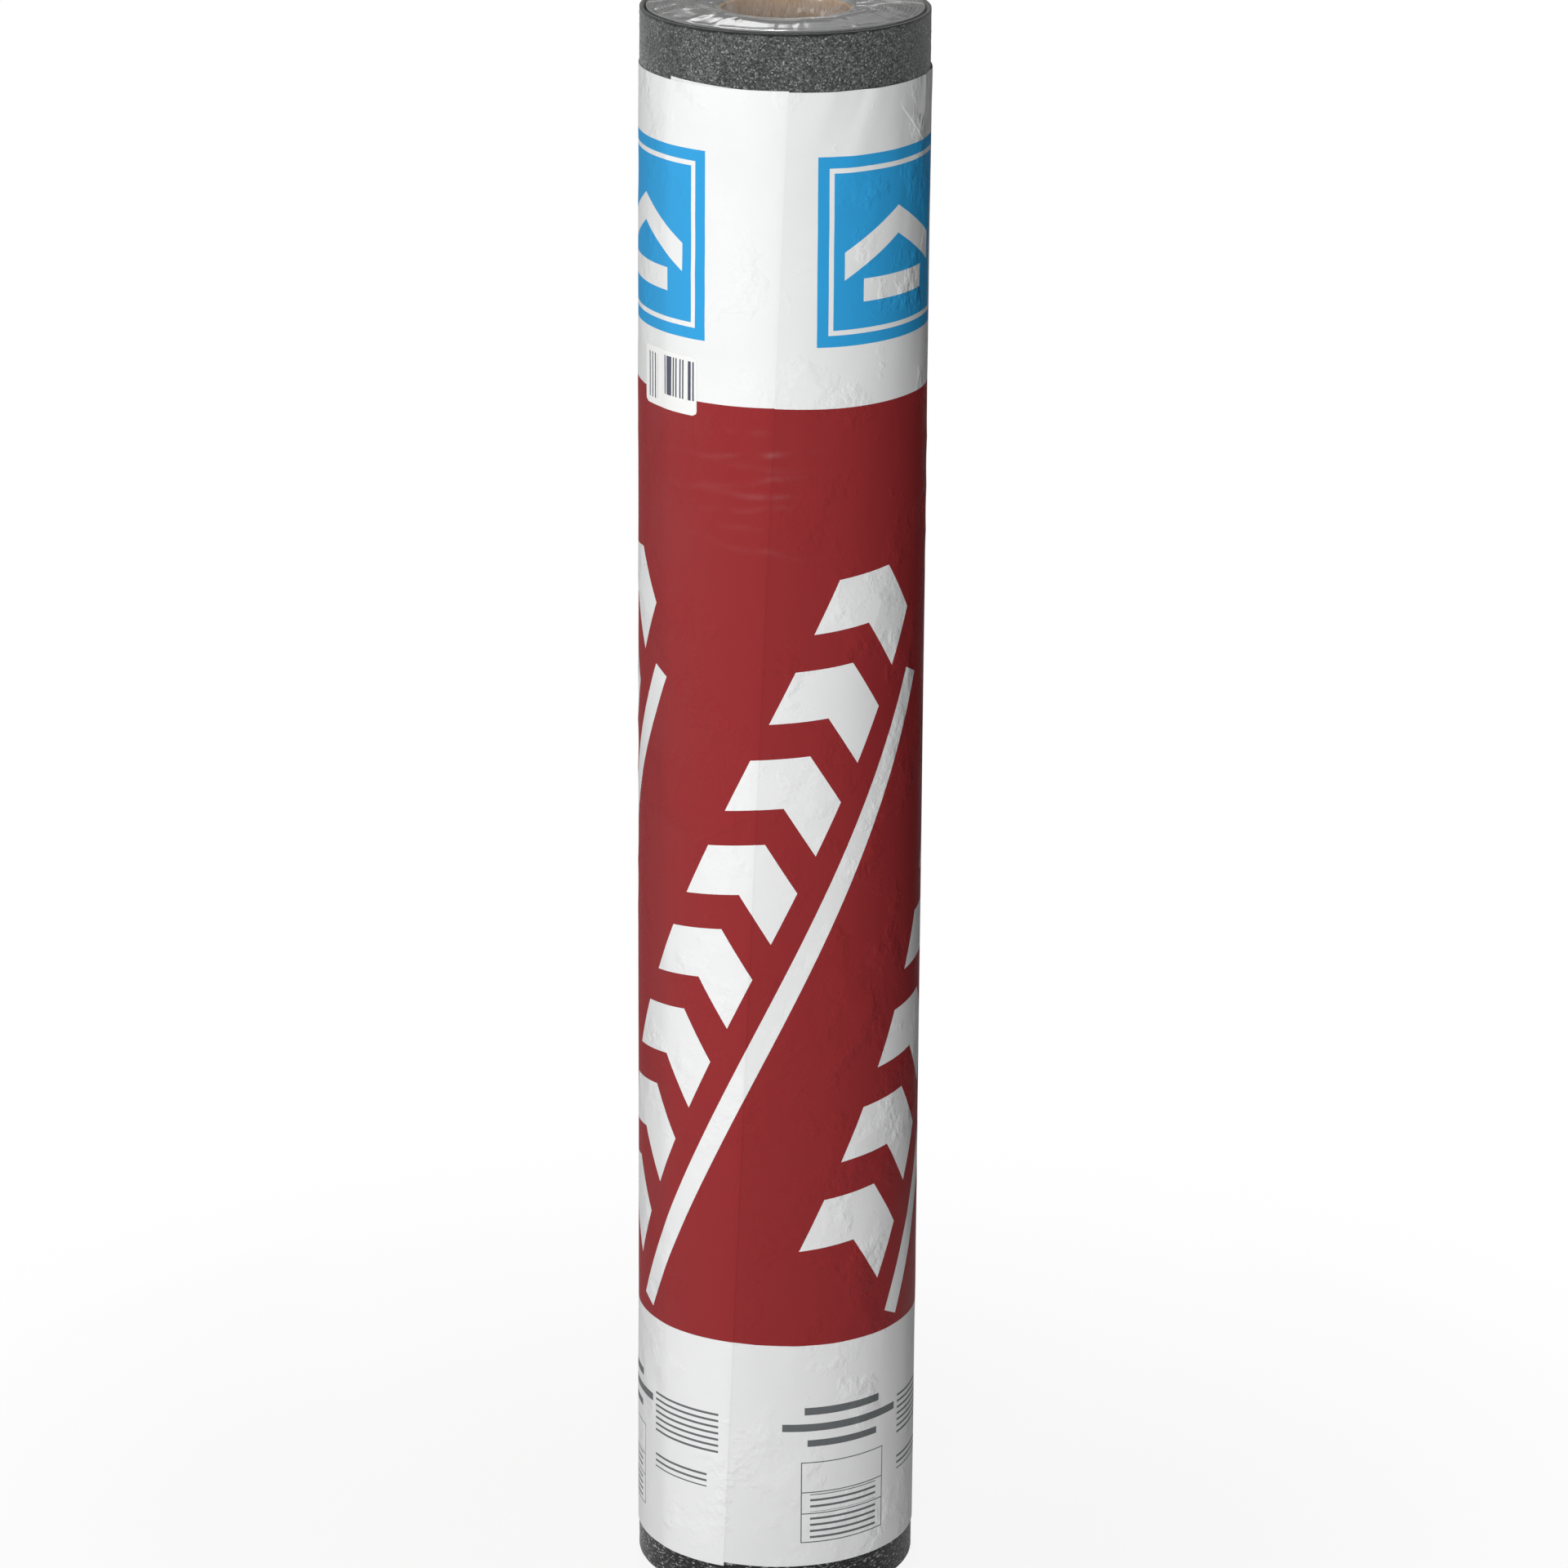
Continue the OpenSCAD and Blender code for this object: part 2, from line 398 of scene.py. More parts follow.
def woundFelt(wound, faceHeights, relief):
    section = sheetSection(faceHeights)
    depth, share, rounding = section[:, :1], section[:, 1:2], section[:, 2:]
    inside, top = feltInside(wound)[None, :], feltTop(wound)[None, :]
    angle = felt["tailAngle"] + 360 * wound[None, :]
    foot = softNoise(wound[None, :] * felt["footWaves"], 0, 1, 1, 13)
    low = felt["edgeRound"] + felt["footWave"] * (1 + foot)
    high = top - felt["edgeRound"]
    height = low + share * (high - low) + rounding * felt["edgeRound"]
    radius = inside + felt["sheet"] * (1 - depth)
    if relief:
        atTop = smoothStep((height - rollHeight + felt["bareTop"]) / felt["bareFade"])
        atFoot = smoothStep((felt["bareBottom"] - height) / felt["bareFade"])
        onBand = np.maximum(atTop, felt["footRelief"] * atFoot)
        arc = np.radians(angle) * feltRadius
        lumps = felt["lumpShare"] * softNoise(arc, height, *felt["lump"], 22)
        grains = softNoise(arc, height, *felt["grain"], 21) + lumps
        raised = onBand * felt["grainRelief"] * (grains - felt["grainSink"])
        radius = radius + np.where(depth == 0, raised, 0)
    points = aroundRoll(radius, angle, height)
    return points, np.stack(np.broadcast_arrays(depth, top - height), -1)


def makeFelt():
    # inner turns, with plain rows, then the outer turn with grain on its bare bands
    start, tail = felt["climb"] / 360, felt["turns"] - 1e-4    # just short of a new turn
    innerEnd = felt["turns"] - 1 - felt["underlap"] / 360
    inner = np.linspace(start, innerEnd, int((innerEnd - start) * 360 / felt["coarseStep"]))
    outer = np.linspace(innerEnd, tail, int((360 + felt["underlap"]) / felt["fineStep"]))
    bottomRows = np.arange(0, felt["bareBottom"], felt["grainRow"]) / rollHeight
    topRows = 1 - np.arange(0, felt["bareTop"], felt["grainRow"])[::-1] / rollHeight
    grainRows = np.concatenate([bottomRows, felt["middleRows"], topRows])
    points, perPoint, faces, first = [], [], [], 0
    for wound, rows, relief in ((inner, felt["plainRows"], False), (outer, grainRows, True)):
        grid, values = woundFelt(wound, rows, relief)
        ring, count = grid.shape[:2]
        faces += gridFaces(ring, count, closeRows=True, first=first)
        index = first + np.arange(ring * count).reshape(ring, count)
        faces += [index[:, 0].tolist(), index[:, -1].tolist()]
        points.append(grid.reshape(-1, 3))
        perPoint.append(values.reshape(-1, 2))
        first += ring * count
    piece = makePiece("wound_felt", np.concatenate(points), faces, mineralFelt(), "felt_roll")
    depths, belowCut = np.concatenate(perPoint).T
    storePerPoint(piece, "sheetDepth", "FLOAT", depths)
    storePerPoint(piece, "belowCut", "FLOAT", belowCut)
    piece.data.materials.append(cutFelt())
    isCut = [int(max(depths[corner] for corner in face) > 0) for face in faces]
    piece.data.polygons.foreach_set("material_index", isCut)


def mineralFelt():
    # bitumen felt dressed with slate grit: a dull grey speckle, black along the edge strip left bare
    look = {
        "grit": 0.95 * mm,          # about the size of slate grit
        "gritStops": [(0.0, "#343535"), (0.3, "#4D4F4E"), (0.62, "#5F6261"), (0.88, "#757977"),
                      (1.0, "#A1A5A2")],
        "cloud": 28 * mm,           # patches of paler and darker grit
        "bitumen": "#1C1C1D",
        "fleck": "#A9ABA8",         # talc left on the bare strip
        "fleckSize": 3.2 * mm,
        "bareStrip": 90 * mm,       # edge strip left without grit
        "smearAndShade": 2.6 * mm,         # reach of the dark band below the top edge: bitumen the knife dragged down, and painted shade of the gap between the turns
        "smearAndShadeSize": 9 * mm,
    }
    material, tree, shader = newMaterial("slateGritFelt")
    place = addNode(tree, "TexCoord").outputs["Object"]
    grit = addNode(tree, "TexVoronoi", values={"Scale": 1 / look["grit"]}, links={"Vector": place})
    shade = addNode(tree, "SeparateColor", links={0: grit.outputs["Color"]})
    gritColour = addNode(tree, "ValToRGB", links={0: shade.outputs[0]})
    setRamp(gritColour, look["gritStops"])
    cloud = addNode(tree, "TexNoise", values={"Scale": 1 / look["cloud"], "Detail": 3},
                    links={"Vector": place})
    cloudShade = addNode(tree, "MapRange", links={"Value": cloud},
                         values={"From Min": 0.3, "From Max": 0.7, "To Min": 0.8, "To Max": 1.15})
    gap = addNode(tree, "MapRange", links={"Value": grit.outputs["Distance"]},
                  values={"From Min": 0.35, "From Max": 0.75, "To Min": 1.0, "To Max": 0.55})
    dim = addNode(tree, "Math", {"operation": "MULTIPLY"}, links={0: cloudShade, 1: gap})
    gritFace = addNode(tree, "Mix", {"data_type": "RGBA", "blend_type": "MULTIPLY"}, {0: 1.0},
                       {6: gritColour, 7: dim})

    # bare strip along the bottom edge, black with pale flecks
    height = addNode(tree, "SeparateXYZ", links={0: place})
    strip = addNode(tree, "Math", {"operation": "LESS_THAN"}, {1: look["bareStrip"]},
                    {0: height.outputs[2]})
    stretched = addNode(tree, "Mapping", values={"Rotation": (0.3, 0.5, 0.4), "Scale": (1, 1, 2.4)},
                        links={0: place})
    flecks = addNode(tree, "TexNoise", links={"Vector": stretched},
                     values={"Scale": 1 / look["fleckSize"], "Detail": 4, "Roughness": 0.62})
    fleckMask = addNode(tree, "MapRange", values={"From Min": 0.55, "From Max": 0.67},
                        links={"Value": flecks})
    stripFace = addNode(tree, "Mix", {"data_type": "RGBA"},
                        {6: toLinear(look["bitumen"]), 7: toLinear(look["fleck"])}, {0: fleckMask})
    face = addNode(tree, "Mix", {"data_type": "RGBA"},
                   links={0: strip, 6: gritFace.outputs[2], 7: stripFace.outputs[2]})

    # dark band down from the top edge in uneven patches: bitumen smeared by the knife, and painted shade
    # of the gap between the turns
    belowCut = addNode(tree, "Attribute", {"attribute_name": "belowCut"})
    smearAndShade = addNode(tree, "TexNoise", values={"Scale": 1 / look["smearAndShadeSize"], "Detail": 4},
                     links={"Vector": place})
    reach = addNode(tree, "MapRange", links={"Value": smearAndShade},
                    values={"From Min": 0.3, "From Max": 0.7,
                            "To Min": 0.3 * look["smearAndShade"], "To Max": look["smearAndShade"]})
    share = addNode(tree, "Math", {"operation": "DIVIDE"}, links={0: belowCut.outputs["Fac"], 1: reach})
    smearAndPaintedShade = addNode(tree, "MapRange", links={"Value": share},
                      values={"From Min": 0.5, "From Max": 1.1, "To Min": 1.0, "To Max": 0.0})
    smearedAndShadedFace = addNode(tree, "Mix", {"data_type": "RGBA"}, {7: toLinear(look["bitumen"])},
                    {0: smearAndPaintedShade, 6: face.outputs[2]})
    rough = addNode(tree, "MapRange", values={"To Min": 0.95, "To Max": 0.6}, links={"Value": fleckMask})
    bump = addNode(tree, "Bump", values={"Strength": 0.6, "Distance": 0.35 * mm}, links={"Height": gap})
    tree.links.new(smearedAndShadedFace.outputs[2], shader.inputs["Base Color"])
    tree.links.new(rough.outputs[0], shader.inputs["Roughness"])
    tree.links.new(bump.outputs[0], shader.inputs["Normal"])
    shader.inputs["IOR"].default_value = 1.55
    shader.inputs["Sheen Weight"].default_value = 0.25    # dust pales the grit at low angles
    shader.inputs["Sheen Roughness"].default_value = 0.4
    return material


def cutFelt():
    # bitumen felt sliced at its ends: black and dull, a grey thread of carrier, pale film on its back
    look = {
        "bitumen": "#1C1C1D",
        "carrier": "#3C3C3B",       # glass fleece inside the sheet
        "release": "#8C8E8A",       # film on the sheet's back
        "smear": 2.2 * mm,          # patches that the knife dragged
    }
    material, tree, shader = newMaterial("slicedBitumenFelt")
    place = addNode(tree, "TexCoord").outputs["Object"]
    depth = addNode(tree, "Attribute", {"attribute_name": "sheetDepth"})
    smear = addNode(tree, "TexNoise", links={"Vector": place},
                    values={"Scale": 1 / look["smear"], "Detail": 5, "Roughness": 0.6})
    middle = addNode(tree, "Math", {"operation": "COMPARE"}, {1: 0.55, 2: 0.1},
                     {0: depth.outputs["Fac"]})
    shown = addNode(tree, "Math", {"operation": "MULTIPLY"}, links={0: middle, 1: smear})
    cut = addNode(tree, "Mix", {"data_type": "RGBA"},
                  {6: toLinear(look["bitumen"]), 7: toLinear(look["carrier"])}, {0: shown})
    atBack = addNode(tree, "MapRange", values={"From Min": 0.84, "From Max": 0.94},
                     links={"Value": depth.outputs["Fac"]})
    back = addNode(tree, "Mix", {"data_type": "RGBA"}, {7: toLinear(look["release"])},
                   {0: atBack, 6: cut.outputs[2]})
    rough = addNode(tree, "MapRange", links={"Value": smear},
                    values={"From Min": 0.3, "From Max": 0.7, "To Min": 0.6, "To Max": 0.9})
    bump = addNode(tree, "Bump", values={"Strength": 0.4, "Distance": 0.2 * mm}, links={"Height": smear})
    tree.links.new(back.outputs[2], shader.inputs["Base Color"])
    tree.links.new(rough.outputs[0], shader.inputs["Roughness"])
    tree.links.new(bump.outputs[0], shader.inputs["Normal"])
    shader.inputs["IOR"].default_value = 1.6
    return material


makeFelt()


# core: spiral-wound cardboard tube

core = {
    "columns": 120,
    "rows": 70,
    "edgeRound": 0.5 * mm,
    "plySeam": 95 * mm,      # climb of the inner ply's butt seam in one turn
    "seamDepth": 0.25 * mm,
    "seamWidth": 1.6 * mm,
}


def makeCore():
    angle = np.linspace(0, 360, core["columns"], endpoint=False)[None, :]
    step = core["edgeRound"]
    share = smoothStep(np.linspace(0, 1, core["rows"]))
    heights = coreBottom + step + (coreTop - coreBottom - 2 * step) * share
    inner = [(coreInner, h) for h in heights[::-1]]
    outer = [(coreOuter, h) for h in heights]
    lowEdge = [(coreInner + step, coreBottom), (coreOuter - step, coreBottom)]
    highEdge = [(coreOuter - step, coreTop), (coreInner + step, coreTop)]
    outline = np.array(inner + lowEdge + outer + highEdge)
    radius, height = outline[:, :1], outline[:, 1:]
    climb = (height - core["plySeam"] * angle / 360) % core["plySeam"]
    offSeam = np.minimum(climb, core["plySeam"] - climb) / core["seamWidth"]
    groove = core["seamDepth"] * np.exp(-offSeam ** 2) * (radius == coreInner)
    points = aroundRoll(radius + groove, angle, height)
    faces = gridFaces(*points.shape[:2], closeRows=True, closeColumns=True)
    makePiece("core_board", points, faces, kraftBoard(), "core_tube")


def kraftBoard():
    # kraft board wound in plies: warm tan, dull, with short fibres and a darker butt seam
    look = {
        "board": "#C2945D",
        "fibre": "#9A7142",
        "pale": "#D6B081",
        "seam": "#6E4C28",
        "fibreSize": 1.4 * mm,
    }
    material, tree, shader = newMaterial("spiralWoundKraftBoard")
    place = addNode(tree, "TexCoord").outputs["Object"]
    stretched = addNode(tree, "Mapping", values={"Scale": (1, 1, 0.25)}, links={0: place})
    fibre = addNode(tree, "TexNoise", links={"Vector": stretched},
                    values={"Scale": 1 / look["fibreSize"], "Detail": 5, "Roughness": 0.6})
    tone = addNode(tree, "ValToRGB", links={0: fibre})
    setRamp(tone, [(0.3, look["fibre"]), (0.5, look["board"]), (0.72, look["pale"])])
    axes = addNode(tree, "SeparateXYZ", links={0: place})
    turn = addNode(tree, "Math", {"operation": "ARCTAN2"},
                   links={0: axes.outputs[0], 1: axes.outputs[1]})
    climb = addNode(tree, "Math", {"operation": "MULTIPLY"}, {1: core["plySeam"] / (2 * math.pi)},
                    {0: turn})
    rise = addNode(tree, "Math", {"operation": "ADD"}, links={0: axes.outputs[2], 1: climb})
    wrapped = addNode(tree, "Math", {"operation": "WRAP"},
                      {1: core["plySeam"] / 2, 2: -core["plySeam"] / 2}, {0: rise})
    seam = addNode(tree, "Math", {"operation": "COMPARE"}, {1: 0.0, 2: 0.5 * mm}, {0: wrapped})
    colour = addNode(tree, "Mix", {"data_type": "RGBA"}, {7: toLinear(look["seam"])},
                     {0: seam, 6: tone})
    bump = addNode(tree, "Bump", values={"Strength": 0.3, "Distance": 0.1 * mm}, links={"Height": fibre})
    rough = addNode(tree, "MapRange", values={"To Min": 0.75, "To Max": 0.9}, links={"Value": fibre})
    tree.links.new(colour.outputs[2], shader.inputs["Base Color"])
    tree.links.new(rough.outputs[0], shader.inputs["Roughness"])
    tree.links.new(bump.outputs[0], shader.inputs["Normal"])
    return material


makeCore()


# wrapper: one coated paper sheet wound once and lapped over its own start

paper = {
    "flat": (0.945, 0.631),    # size of the cut sheet, and its area with the slanted end
    "flatArea": 0.579,
    "startAngle": -50,         # hidden start edge
    "endTop": 1.6,             # slanted outer end, at its top and at its bottom
    "endBottom": -21.6,
    "thickness": 0.25 * mm,
    "standOff": 0.3 * mm,      # how far the sheet stands off the felt
    "lapRamp": 7,              # degrees in which the sheet climbs onto its start
    "lapStep": 0.4 * mm,
    "feather": 1.0,            # degrees at the outer end where the glue presses the sheet down
    "featherPress": 0.09 * mm,
    "featherThin": 0.65,       # share of the thickness that the torn end loses
    "drift": 2.4 * mm,         # how much lower it lies after a turn
    # how far the top edge drops below its start corner, at angles along the sheet
    "topDrops": [(-50, 0.0), (-30, 1.3), (-10, 2.7), (10, 3.4),
                 (70, 3.9), (180, 3.0), (290, 2.0), (362, 2.3)],
    "edgeReach": 80 * mm,      # height over which that drop dies out
    "printSlip": 1.5 * mm,     # how much lower the print lies at the front right
    "slipFrom": (-20, 50),     # angle where that starts and where it ends, each with its fade
    "slipTo": (200, 100),
    "columnStep": 2.7,         # degrees, and finer at the pleated side
    "columnFiner": 2.2,
    "pleatFrom": 30,
    "pleatTo": 104,
    "rowStep": 5.4 * mm,
    "fineRowStep": 1.5 * mm,
    "glueFrom": 672 * mm,      # stretch of the lap where the glue puckers the paper
    "glueTo": 772 * mm,
    # puckers as height, share of the full size, lift to the left, reach
    "puckers": [(757, 0.45, 0.05, 16), (745, 1.0, -0.08, 24), (736, 0.3, 0.1, 30),
                (729, 0.45, -0.14, 34), (719, 0.95, 0.03, 22), (712, 0.35, -0.1, 30),
                (697, 0.4, 0.12, 26), (684, 0.3, 0.16, 34)],
    "puckerSize": 0.75 * mm,
    "puckerTall": 1.9 * mm,
    "puckerRight": 3,          # how much sooner they die out to the right
    "puckerBreak": 9 * mm,     # length between their breaks
    "puckerBend": (1.5 * mm, 14 * mm),
    "rubAndHighlight": (1 * mm, 1.6 * mm),    # rise above the ridge and height of its pale mark: ink rubbed off, and a painted highlight on the ridge's lit upper flank
    # height, degrees round and length upwards of the waves and the creases
    "wave": (0.16 * mm, 24, 95 * mm),
    "crease": (0.42 * mm, 15, 30 * mm),
    "creasePatch": (40, 120 * mm),
    # folds below the top edge: height, first angle, reach down, slant, width, length
    "pleat": (1.0 * mm, 34, 50 * mm, 0.1, 6.5 * mm, 90 * mm),
    "streak": (1.1 * mm, -5, 90 * mm, 0.4, 15 * mm, 60 * mm),
    "foldsEnd": 98,            # angle where both end, and degrees in which they fade
    "foldsFade": 30,
    "pleatTop": 880 * mm,      # lowest height of the pleats at the right
}


def feltOutline(angle):
    wound = felt["turns"] - 1 + ((angle - felt["tailAngle"]) % 360) / 360
    return feltInside(wound) + felt["sheet"]


def tautOutline(count=1440):
    # the felt's outline with its hollow beside the tail bridged, as paper pulled round it lies
    angle = np.arange(count) * 360 / count
    radius = feltOutline(angle)
    for span in (120, 60, 30, 15, 8, 4, 2, 1) * 3:
        before, after = np.roll(radius, span), np.roll(radius, -span)
        chord = 2 * before * after * math.cos(2 * math.pi * span / count) / (before + after)
        radius = np.maximum(radius, chord)
    return angle, radius


def lapEdge(height):
    share = (height - paperBottom) / (paperTop - paperBottom)
    return paper["endBottom"] + (paper["endTop"] - paper["endBottom"]) * share


def paperRelief(angle, height):
    # soft waves, creased patches, folds below the top edge, and puckers at the glued lap
    turned = (angle + 180) % 360 - 180
    arc = np.radians(turned) * feltRadius
    below = paperTop - height
    tall, wide, long = paper["wave"]
    relief = tall * softNoise(turned, height, wide, long, 31, 360)
    tall, wide, long = paper["crease"]
    patch = smoothStep(0.5 + 1.2 * softNoise(turned, height, *paper["creasePatch"], 33, 360))
    creased = np.abs(softNoise(turned, height, wide, long, 32, 360))
    relief = relief + tall * patch * (0.5 - creased)
    fade = paper["foldsFade"]
    for kind, seed in (("pleat", 34), ("streak", 38)):
        tall, first, reach, slant, wide, long = paper[kind]
        side = smoothStep((turned - first) / fade) * smoothStep((paper["foldsEnd"] - turned) / fade)
        folds = softNoise(arc + slant * below, height, wide, long, seed)
        relief = relief + tall * side * np.exp(-below / reach) * folds
    relief = relief + paper["puckerSize"] * puckered(angle, height, paper["puckerTall"])
    return np.maximum(relief, -paper["standOff"] / 2)    # it lies on the felt between its folds


def puckered(angle, height, tall):
    # level ridges that run out from the glued lap, mostly to its left, broken here and there
    turned = (angle + 180) % 360 - 180
    offEdge = np.radians(turned - lapEdge(height)) * feltRadius
    away = np.where(offEdge < 0, -offEdge, paper["puckerRight"] * offEdge)
    bend, bendLength = paper["puckerBend"]
    ridges = 0
    for middle, size, lift, reach in paper["puckers"]:
        fade = np.exp(-away / (reach * mm))
        broken = smoothStep(0.65 + 0.8 * softNoise(offEdge, middle, paper["puckerBreak"], 1, 36))
        bent = bend * softNoise(offEdge, middle, bendLength, 1, 37)
        off = (height - middle * mm + lift * offEdge + bent) / tall
        ridges = ridges + size * fade * broken * np.exp(-off ** 2)
    return ridges


def paperSurface(angle, height):
    # radius of the sheet's inner face and how far it lies on its own start, angle counted on
    lap = paper["startAngle"] + 360
    onLap = smoothStep((angle - lap + paper["lapRamp"]) / paper["lapRamp"])
    table, taut = tautOutline()
    radius = np.interp(angle % 360, np.append(table, 360), np.append(taut, taut[0]))
    return radius + paper["standOff"] + paper["lapStep"] * onLap + paperRelief(angle, height), onLap


def makeWrapper():
    start, end = paper["startAngle"], 360 + paper["endTop"]
    coarse = np.arange(start, paper["pleatFrom"], paper["columnStep"])
    finer = paper["columnStep"] / paper["columnFiner"]
    pleated = np.arange(paper["pleatFrom"], paper["pleatTo"], finer)
    feather = end - paper["feather"]
    rest = np.arange(paper["pleatTo"], feather - paper["feather"], paper["columnStep"])
    along = np.concatenate([coarse, pleated, rest, [feather, end]])
    along = (along - start) / (end - start)
    low = np.arange(paperBottom + paper["drift"], paper["glueFrom"], paper["rowStep"])
    glued = np.arange(paper["glueFrom"], paper["glueTo"], paper["fineRowStep"])
    high = np.arange(paper["glueTo"], paper["pleatTop"], paper["rowStep"])
    pleatRows = np.arange(paper["pleatTop"], paperTop, paper["rowStep"] / 2)
    rows = np.append(np.concatenate([low, glued, high, pleatRows]), paperTop)[:, None]
    endAngle = 360 + lapEdge(rows)
    angle = start + along[None, :] * (endAngle - start)
    atTop = smoothStep((rows - paperTop + paper["edgeReach"]) / paper["edgeReach"])
    dropAngles, drops = np.array(paper["topDrops"]).T
    topDrop = np.interp(angle, dropAngles, drops) * mm
    height = rows - topDrop * atTop - paper["drift"] * (angle - start) / 360 * (1 - atTop)
    radius, onLap = paperSurface(angle, height)
    atEnd = (along == 1)[None, :]
    radius = radius - paper["featherPress"] * atEnd
    thickness = paper["thickness"] * (1 - paper["featherThin"] * atEnd)
    outside = aroundRoll(radius + thickness, angle, height)
    points, faces = thinSheet(outside, aroundRoll(radius, angle, height))
    piece = makePiece("paper_wrapper", points, faces, wrappingPaper(), "wrapper")
    girth = 2 * math.pi * feltRadius
    (slipStart, fadeIn), (slipEnd, fadeOut) = paper["slipFrom"], paper["slipTo"]
    slip = smoothStep((angle - slipStart) / fadeIn) * smoothStep((slipEnd - angle) / fadeOut)
    slip = paper["printSlip"] * slip
    placeOnSheet = np.stack([girth * angle / 360, height + slip, onLap], -1)
    storePerPoint(piece, "sheetPlace", "FLOAT_VECTOR", np.concatenate([placeOnSheet] * 2))
    # the pale mark sits just above each pucker's ridge: rubbed ink, and a painted highlight where the
    # upper flank faces the light
    rise, tall = paper["rubAndHighlight"]
    creased = puckered(angle, height - rise, tall)
    storePerPoint(piece, "creased", "FLOAT", np.concatenate([creased] * 2))


printed = {
    "repeats": 3,                                # repeats of the print in one turn
    "red": "#932C2F",
    "blue": "#33A4E2",
    "ink": "#6A6E70",
    "white": "#F4F5F5",
    "singleShade": 0.92,                         # a single sheet lets the black felt show a little
    "rubbedAndHighlit": 0.06,                              # how pale the ink goes along a pucker: rubbed off, and a painted highlight
    "redBand": (173.0 * mm, 774.4 * mm),
    "bluePanel": (20 * mm, 134 * mm, 812 * mm, 927 * mm),    # left, right, low, high
    "panelLine": (7 * mm, 3 * mm),               # inset and width of the panel's white line
    "gable": (40 * mm, 17 * mm, 0.6, 893 * mm),  # half width, thickness, slope and peak
    "gableBar": (50, 104, 838, 852),             # bar below the gable
    "slant": 64.6,                               # degrees from level
    "rowPlace": 107 * mm,                        # middle of the chevron row, across the slant
    "rowWidth": 62 * mm,
    "chevron": (63 * mm, 37 * mm, 0.62),         # pitch, depth and slope of the chevrons
    "rowRange": (266 * mm, 266 * mm + 8 * 63 * mm - 26 * mm),
    "linePlace": 54 * mm,                        # line beside the row, from the row's middle
    "lineWidth": 13 * mm,
    "lineRange": (228 * mm, 690 * mm),
    "ruledBox": (16, 76, 39, 94),
    "boxRules": (73, 58.5),
    "boxLine": 0.7,
    "headings": [(18, 72, 126, 131), (4, 88, 115, 120), (20, 70, 104.5, 109)],
    # blocks of fine lines
    "notes": [(92, 146, 96, 126), (92, 138, 72, 84), (22, 70, 42, 57), (22, 70, 60, 72)],
    "noteLine": (4.2 * mm, 1.5 * mm),            # pitch and height of the fine lines
    "fold": (77.5 * mm, 954 * mm, -43, 44 * mm),    # crease at the top right: start, turn, length
    "foldWidth": 1.1 * mm,
    "foldSlope": 8 * mm,                         # width of its far side
    "foldStart": 6 * mm,                         # length in which it rises
    "markSize": 55 * mm,                         # handling marks
    "facetSize": 26 * mm,
    "fibreSize": 5 * mm,                         # clumps of fibre, drawn coarser to show
}


def printedBar(tree, across, up, left, right, low, high):
    # 1 inside a level rectangle of the print, 0 outside it
    wide, tall = (addNode(tree, "Math", {"operation": "COMPARE"},
                          {1: (first + last) / 2, 2: (last - first) / 2}, {0: place})
                  for place, first, last in ((across, left, right), (up, low, high)))
    return addNode(tree, "Math", {"operation": "MULTIPLY"}, links={0: wide, 1: tall})


def chevronRow(tree, along, up, repeat):
    # slanted row of chevrons and the line beside it, as (colour, mask)
    slant = math.radians(printed["slant"])
    slid = addNode(tree, "Math", {"operation": "MULTIPLY"}, {1: math.sin(slant)}, {0: along})
    sunk = addNode(tree, "Math", {"operation": "MULTIPLY_ADD"}, {1: -math.cos(slant)},
                   {0: up, 2: slid})
    moved = addNode(tree, "Math", {"operation": "SUBTRACT"}, {1: printed["rowPlace"]}, {0: sunk})
    halfStep = repeat * math.sin(slant) / 2
    cross = addNode(tree, "Math", {"operation": "WRAP"}, {1: halfStep, 2: -halfStep}, {0: moved})
    risen = addNode(tree, "Math", {"operation": "MULTIPLY_ADD"}, {1: math.cos(slant)},
                    {0: cross, 2: up})
    climb = addNode(tree, "Math", {"operation": "DIVIDE"}, {1: math.sin(slant)}, {0: risen})
    pitch, depth, slope = printed["chevron"]
    aside = addNode(tree, "Math", {"operation": "ABSOLUTE"}, links={0: cross})
    folded = addNode(tree, "Math", {"operation": "MULTIPLY_ADD"}, {1: slope}, {0: aside, 2: climb})
    low, high = printed["rowRange"]
    started = addNode(tree, "Math", {"operation": "SUBTRACT"}, {1: low}, {0: folded})
    step = addNode(tree, "Math", {"operation": "WRAP"}, {1: pitch, 2: 0.0}, {0: started})
    half = printed["rowWidth"] / 2
    chevrons = addNode(tree, "Math", {"operation": "MULTIPLY"}, links={
        0: printedBar(tree, cross, step, -half, half, 0, depth),
        1: printedBar(tree, cross, folded, -half, half, low, high)})
    left = printed["linePlace"] - printed["lineWidth"] / 2
    right = left + printed["lineWidth"]
    beside = printedBar(tree, cross, climb, left, right, *printed["lineRange"])
    return [(printed["white"], chevrons), (printed["white"], beside)]


def bluePanel(tree, across, up):
    # panel with a white line inside its edge, and a gable over a bar
    left, right, low, high = printed["bluePanel"]
    inset, line = printed["panelLine"]
    layers = []
    for colour, step in (("blue", 0), ("white", inset), ("blue", inset + line)):
        field = printedBar(tree, across, up, left + step, right - step, low + step, high - step)
        layers.append((printed[colour], field))
    half, thick, slope, peak = printed["gable"]
    fromMiddle = addNode(tree, "Math", {"operation": "SUBTRACT"}, {1: (left + right) / 2}, {0: across})
    aside = addNode(tree, "Math", {"operation": "ABSOLUTE"}, links={0: fromMiddle})
    folded = addNode(tree, "Math", {"operation": "MULTIPLY_ADD"}, {1: slope}, {0: aside, 2: up})
    gable = printedBar(tree, aside, folded, -half, half, peak - thick, peak)
    bar = printedBar(tree, across, up, *(v * mm for v in printed["gableBar"]))
    return layers + [(printed["white"], gable), (printed["white"], bar)]


